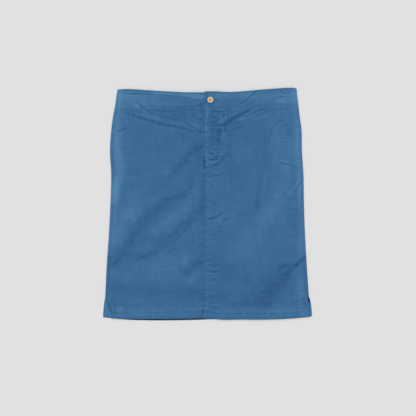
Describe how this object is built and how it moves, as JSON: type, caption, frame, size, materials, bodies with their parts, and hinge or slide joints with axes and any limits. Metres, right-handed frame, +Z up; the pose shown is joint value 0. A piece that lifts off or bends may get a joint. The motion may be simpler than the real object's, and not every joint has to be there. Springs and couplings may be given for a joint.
{
  "type": "skirt",
  "caption": "Straight cotton skirt laid flat, with a lapped waistband closed by a button, a concealed button fly, side vents and a turned-up hem.",
  "frame": {"origin": "centre of the garment's bounding box, on the surface it lies on", "axes": "+Z up out of the surface, +Y from the hem to the waist, +X to the viewer's right, over the lapping front"},
  "size_m": [0.4885, 0.5442, 0.0108],
  "materials": {
    "cotton": "garment-washed plain-weave cotton, matt",
    "corozo": "turned corozo nut, satin"
  },
  "bodies": {
    "root": {"back_panel": "cotton", "waistband_back": "cotton", "front_left": "cotton", "front_right": "cotton", "fly_underlap": "cotton", "waistband_front_left": "cotton", "waistband_front_right": "cotton", "button": "corozo", "fly_button": "corozo"}
  },
  "joints": []
}
